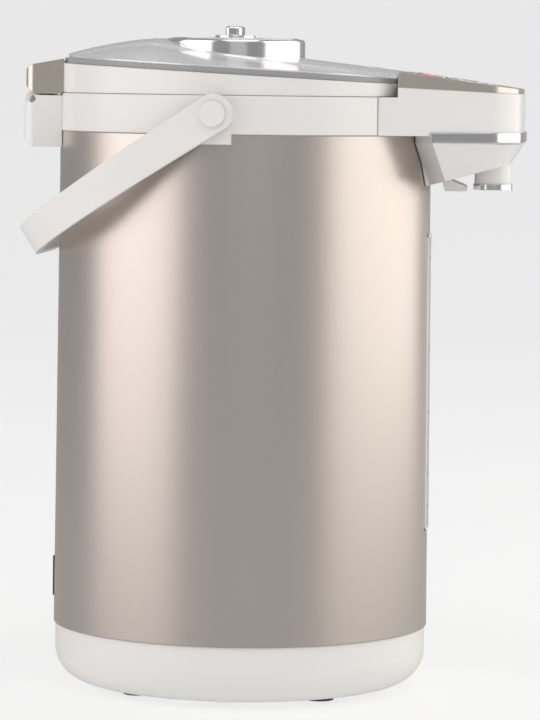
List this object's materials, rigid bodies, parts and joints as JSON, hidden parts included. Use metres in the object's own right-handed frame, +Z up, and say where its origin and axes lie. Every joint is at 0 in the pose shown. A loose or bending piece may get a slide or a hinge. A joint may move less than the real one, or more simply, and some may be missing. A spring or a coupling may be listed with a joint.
{
  "type": "electric thermo pot",
  "caption": "Electric hot water pot with a hinged lid, air pump disc, swinging bail handle and a hooded spout with a sloped control panel.",
  "frame": {"origin": "on the ground under the axis of the round body", "axes": "+Z up, spout toward -Y, lid hinge toward +Y, X across"},
  "size_m": [0.2238, 0.2744, 0.364],
  "materials": {
    "white_plastic": "warm white moulded plastic, satin",
    "champagne_metal": "champagne painted metal sleeve, satin metallic",
    "champagne_plastic": "champagne metallic plastic, satin",
    "pearl_plastic": "silver pearl plastic, glossy",
    "grey_plastic": "mid grey plastic, satin",
    "bright_chrome": "bright chrome plating",
    "steel": "stainless steel, drawn",
    "screw_steel": "zinc plated steel",
    "aluminium": "cast aluminium",
    "rubber": "black rubber",
    "silicone": "pale silicone rubber",
    "clear_plastic": "clear plastic, polished",
    "glass": "clear tube",
    "dark_plastic": "black heat resistant plastic",
    "display_dark": "dark display window, glossy",
    "circuit_board": "green circuit board",
    "foam": "insulating felt",
    "heater": "mica heater band in metal",
    "brass": "brass, turned"
  },
  "bodies": {
    "pot": {"base_cover": "white_plastic", "bottom_plate": "white_plastic", "rubber_feet": "rubber", "base_screws": "screw_steel", "inner_frame": "dark_plastic", "pot_stand": "dark_plastic", "body_sleeve": "champagne_metal", "gauge_window": "clear_plastic", "power_inlet": "dark_plastic", "inlet_pins": "brass", "inner_pot": "steel", "suction_pipe": "silicone", "heater_plate": "aluminium", "warming_band": "heater", "insulation_jacket": "foam", "boil_thermostat": "steel", "thermal_fuse": "dark_plastic", "temperature_probe": "steel", "pump_housing": "dark_plastic", "pump_motor": "screw_steel", "outlet_elbow": "silicone", "level_tube": "glass", "spout_pipe": "silicone", "power_board": "circuit_board", "power_board_parts": "dark_plastic", "upper_collar": "white_plastic", "trim_strip": "bright_chrome", "spout_hood": "white_plastic", "display_window": "display_dark", "control_panel": "champagne_plastic", "control_board": "circuit_board", "spout_nozzle": "white_plastic", "nozzle_ring": "bright_chrome", "cup_lever_pin": "steel", "pivot_plate_left": "white_plastic", "pivot_plate_right": "white_plastic", "pivot_pin_left": "white_plastic", "pivot_pin_right": "white_plastic", "hinge_block": "white_plastic", "hinge_pin": "steel"},
    "lid": {"hinge_cap": "champagne_plastic", "lid_ring": "white_plastic", "lid_ledge": "grey_plastic", "lid_cover": "pearl_plastic", "inner_lid": "dark_plastic", "lid_gasket": "silicone", "air_valve": "silicone", "air_bellows": "silicone", "bellows_spring": "steel", "latch_pin": "steel"},
    "disc": {"press_disc": "bright_chrome"},
    "knob": {"lock_knob": "bright_chrome"},
    "latch": {"lid_latch": "pearl_plastic"},
    "bail": {"bail_handle": "white_plastic"},
    "dispense_key": {"dispense_button": "champagne_plastic"},
    "lock_key": {"lock_button": "champagne_plastic"},
    "warm_key": {"warm_button": "champagne_plastic"},
    "boil_key": {"boil_button": "champagne_plastic"},
    "lever": {"cup_lever": "white_plastic"},
    "rotor": {"pump_impeller": "silicone"}
  },
  "joints": [
    {"name": "lid_hinge", "type": "hinge", "parent": "pot", "child": "lid", "pos_m": [0, 0.114, 0.323], "axis": [-1, 0, 0], "range_deg": [0, 85]},
    {"name": "bail_swing", "type": "hinge", "parent": "pot", "child": "bail", "pos_m": [0, 0.0048, 0.317], "axis": [1, 0, 0], "range_deg": [0, 125]},
    {"name": "disc_press", "type": "slide", "parent": "lid", "child": "disc", "axis": [0, 0, -1], "range_m": [0, 0.015], "stiffness_N_per_m": 600, "springref_m": -0.004, "deforming": ["bellows_spring", "air_bellows"]},
    {"name": "knob_turn", "type": "hinge", "parent": "disc", "child": "knob", "pos_m": [0, 0.0065, 0.357], "axis": [0, 0, 1], "range_deg": [0, 90]},
    {"name": "latch_lift", "type": "hinge", "parent": "lid", "child": "latch", "pos_m": [0, -0.071, 0.3375], "axis": [-1, 0, 0], "range_deg": [0, 20], "stiffness_Nm_per_rad": 0.05, "springref_deg": -8.59},
    {"name": "dispense_push", "type": "slide", "parent": "pot", "child": "dispense_key", "axis": [0, 0.1371, -0.9906], "range_m": [0, 0.0012], "stiffness_N_per_m": 500, "springref_m": -0.0008},
    {"name": "lock_push", "type": "slide", "parent": "pot", "child": "lock_key", "axis": [0, 0.1371, -0.9906], "range_m": [0, 0.0012], "stiffness_N_per_m": 500, "springref_m": -0.0008},
    {"name": "warm_push", "type": "slide", "parent": "pot", "child": "warm_key", "axis": [0, 0.1371, -0.9906], "range_m": [0, 0.0012], "stiffness_N_per_m": 500, "springref_m": -0.0008},
    {"name": "boil_push", "type": "slide", "parent": "pot", "child": "boil_key", "axis": [0, 0.1371, -0.9906], "range_m": [0, 0.0012], "stiffness_N_per_m": 500, "springref_m": -0.0008},
    {"name": "cup_lever_push", "type": "hinge", "parent": "pot", "child": "lever", "pos_m": [0, -0.111, 0.2853], "axis": [1, 0, 0], "range_deg": [0, 10], "stiffness_Nm_per_rad": 0.05, "springref_deg": -8.59},
    {"name": "rotor_spin", "type": "hinge", "parent": "pot", "child": "rotor", "pos_m": [0, -0.04, 0.022], "axis": [0, 0, 1], "continuous": true}
  ]
}
